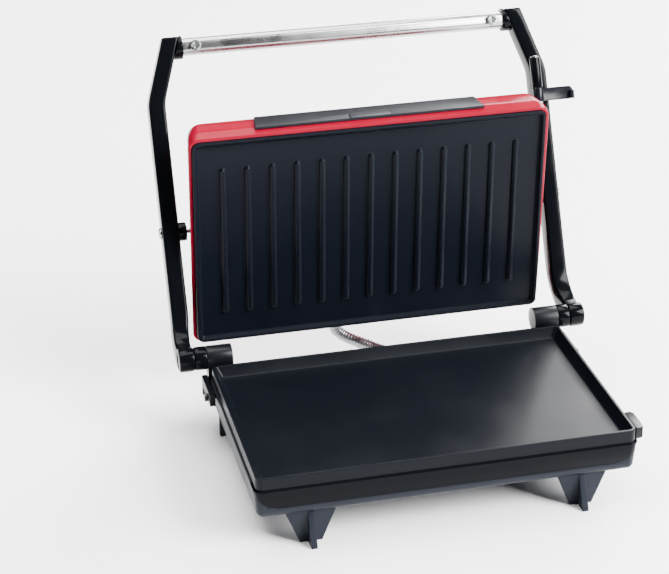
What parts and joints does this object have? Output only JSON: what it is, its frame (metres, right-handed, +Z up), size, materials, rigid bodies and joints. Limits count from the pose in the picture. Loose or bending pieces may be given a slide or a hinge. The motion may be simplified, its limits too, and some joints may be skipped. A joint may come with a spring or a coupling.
{
  "type": "panini press",
  "caption": "Contact grill with a flat lower plate, a ribbed upper plate in a red lid that floats between two lifting arms with a handle bar, and a side latch.",
  "frame": {"origin": "on the plane that the feet stand on, under the centre of the base and its lower plate", "axes": "+Z up, -Y towards the user at the front, +X to the user's right, where the latch is; the row is stored open"},
  "size_m": [0.2818, 0.2716, 0.2276],
  "materials": {
    "housing_grey": "fine moulded grain, satin",
    "band_gloss": "polished",
    "nonstick_lower": "non-stick coating, satin",
    "nonstick_upper": "non-stick coating, satin",
    "heater_steel": "heat-dulled tube",
    "shield_steel": "rolled sheet",
    "shield_alu": "rolled sheet",
    "ceramic": "glazed ceramic",
    "fuse_brass": "plain",
    "gland_rubber": "moulded",
    "screw_steel": "zinc plated",
    "screw_black": "blackened",
    "bracket_black": "moulded, satin",
    "pin_steel": "turned",
    "conduit_metal": "wound strip",
    "arm_gloss": "polished",
    "bar_steel": "brushed along its length",
    "latch_black": "polished",
    "cover_red": "polished crimson",
    "grip_black": "satin",
    "grip_tab": "satin",
    "lens_red": "clear tinted",
    "lens_green": "clear tinted"
  },
  "bodies": {
    "base": {"lower_housing": "housing_grey", "front_band": "band_gloss", "foot_front_left": "housing_grey", "foot_front_right": "housing_grey", "foot_rear_left": "housing_grey", "foot_rear_right": "housing_grey", "lower_plate": "nonstick_lower", "lower_heater": "heater_steel", "lower_heat_shield": "shield_steel", "lower_thermostat": "ceramic", "thermal_fuse": "fuse_brass", "terminal_block": "ceramic", "mains_gland": "gland_rubber", "lower_plate_screws": "screw_steel", "hinge_bracket_left": "bracket_black", "hinge_bracket_right": "bracket_black", "hinge_pins": "pin_steel", "hinge_bushes": "arm_gloss", "bracket_screws": "screw_black", "latch_catch": "bracket_black", "catch_screws": "screw_black", "conduit_base_gland": "gland_rubber", "conduit": "conduit_metal"},
    "arms": {"arm_left": "arm_gloss", "arm_right": "arm_gloss", "handle_bar": "bar_steel", "handle_collar_left": "arm_gloss", "handle_collar_right": "arm_gloss", "handle_screws": "screw_steel", "handle_bolts": "screw_steel", "pivot_pins": "pin_steel", "pivot_clips": "screw_steel"},
    "lid": {"lid_cover": "cover_red", "upper_plate": "nonstick_upper", "upper_heater": "heater_steel", "upper_heat_shield": "shield_alu", "upper_thermostat": "ceramic", "upper_plate_screws": "screw_steel", "pivot_bracket_left": "shield_steel", "pivot_bracket_right": "shield_steel", "bracket_rivets": "screw_steel", "lid_grip": "grip_black", "lid_grip_tab": "grip_tab", "power_lamp": "lens_red", "ready_lamp": "lens_green", "conduit_lid_gland": "gland_rubber"},
    "latch": {"latch_tab": "latch_black", "latch_pin": "pin_steel", "latch_spring": "screw_steel"}
  },
  "joints": [
    {"name": "arm_hinge", "type": "hinge", "parent": "base", "child": "arms", "pos_m": [0, 0.081, 0.0487], "axis": [1, 0, 0], "range_deg": [0, 115]},
    {"name": "lid_swing", "type": "hinge", "parent": "arms", "child": "lid", "pos_m": [0, 0.13608, 0.11239], "axis": [1, 0, 0], "range_deg": [-28.6, 0.5]},
    {"name": "latch_turn", "type": "hinge", "parent": "arms", "child": "latch", "pos_m": [0.1235, 0.15189, 0.17646], "axis": [0, -0.4226, -0.9063], "range_deg": [0, 90]}
  ],
  "couplings": [
    {"joint": "lid_swing", "follows": "arm_hinge", "ratio": -0.24435}
  ]
}
